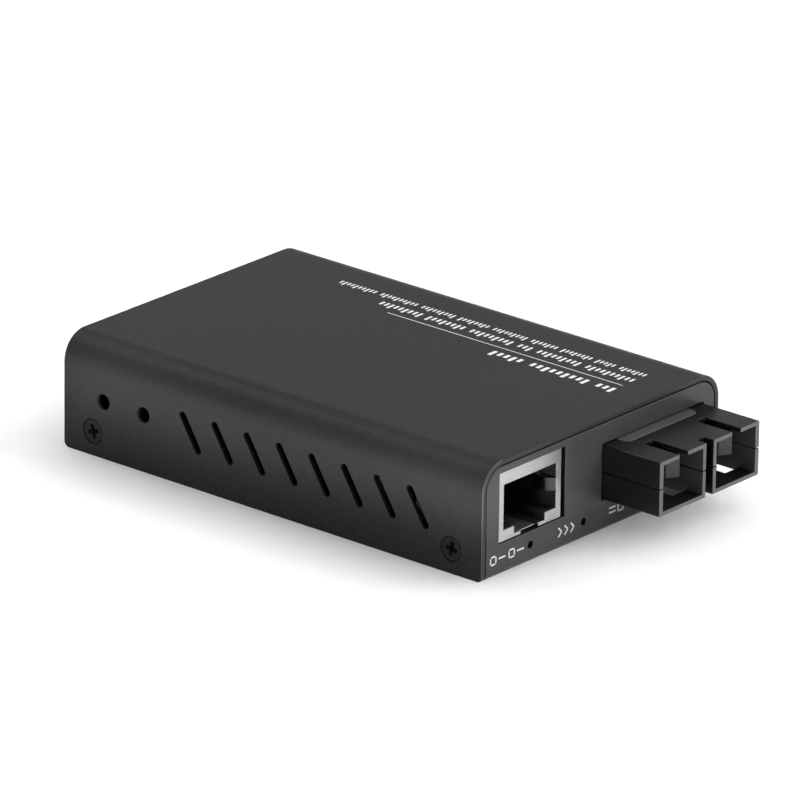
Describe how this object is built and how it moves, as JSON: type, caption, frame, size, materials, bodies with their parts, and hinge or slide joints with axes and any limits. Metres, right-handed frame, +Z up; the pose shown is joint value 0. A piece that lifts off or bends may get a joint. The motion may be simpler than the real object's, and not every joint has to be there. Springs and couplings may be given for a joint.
{
  "type": "fibre media converter",
  "caption": "Small flat metal box with a shielded copper data port and a duplex fibre port on one end, slanted side vents and a power socket behind.",
  "frame": {"origin": "centre of the case's flat underside, the fibre port's nose left out", "axes": "+X to the right seen from the port side, -Y the way the ports face, +Z up"},
  "size_m": [0.056, 0.095, 0.0185],
  "materials": {
    "cover_paint": "fine-textured dark grey powder coat",
    "panel_paint": "fine-textured dark grey powder coat",
    "screw_steel": "black zinc plated",
    "plated_steel": "tin plated",
    "plated_shield": "bright tin plated sheet",
    "board_laminate": "solder mask over laminate",
    "jack_plastic": "moulded, satin",
    "contact_gold": "gold plated",
    "nose_plastic": "moulded, satin",
    "strip_grey": "conductive grey, satin",
    "insert_plastic": "moulded, satin",
    "ceramic": "ground ceramic",
    "lamp_body": "cast clear and white",
    "inlet_plastic": "moulded, satin",
    "chip_plastic": "moulded package",
    "can_aluminium": "bright can"
  },
  "bodies": {
    "root": {"top_cover": "cover_paint", "base_tray": "panel_paint", "cover_screws": "screw_steel", "board_standoffs": "plated_steel", "board_screws": "plated_steel", "main_board": "board_laminate", "rj45_shield": "plated_shield", "rj45_housing": "jack_plastic", "rj45_contacts": "contact_gold", "sc_lower_housing": "nose_plastic", "sc_upper_housing": "nose_plastic", "shield_strip": "strip_grey", "sc_latch_insert_left": "insert_plastic", "sc_latch_insert_right": "insert_plastic", "ferrule_sleeve_left": "ceramic", "ferrule_sleeve_right": "ceramic", "transceiver_cover": "plated_shield", "transceiver_board": "board_laminate", "transceiver_pins": "contact_gold", "light_sender": "plated_steel", "light_receiver": "plated_steel", "status_light_1": "lamp_body", "status_light_2": "lamp_body", "status_light_3": "lamp_body", "status_light_4": "lamp_body", "power_inlet_housing": "inlet_plastic", "power_inlet_pin": "plated_steel", "power_inlet_contact": "plated_steel", "switch_chip": "chip_plastic", "line_transformer": "chip_plastic", "power_coil": "chip_plastic", "regulator": "chip_plastic", "crystal": "plated_steel", "capacitor_can_1": "can_aluminium", "capacitor_can_2": "can_aluminium", "capacitor_base_1": "chip_plastic", "capacitor_base_2": "chip_plastic"}
  },
  "joints": []
}
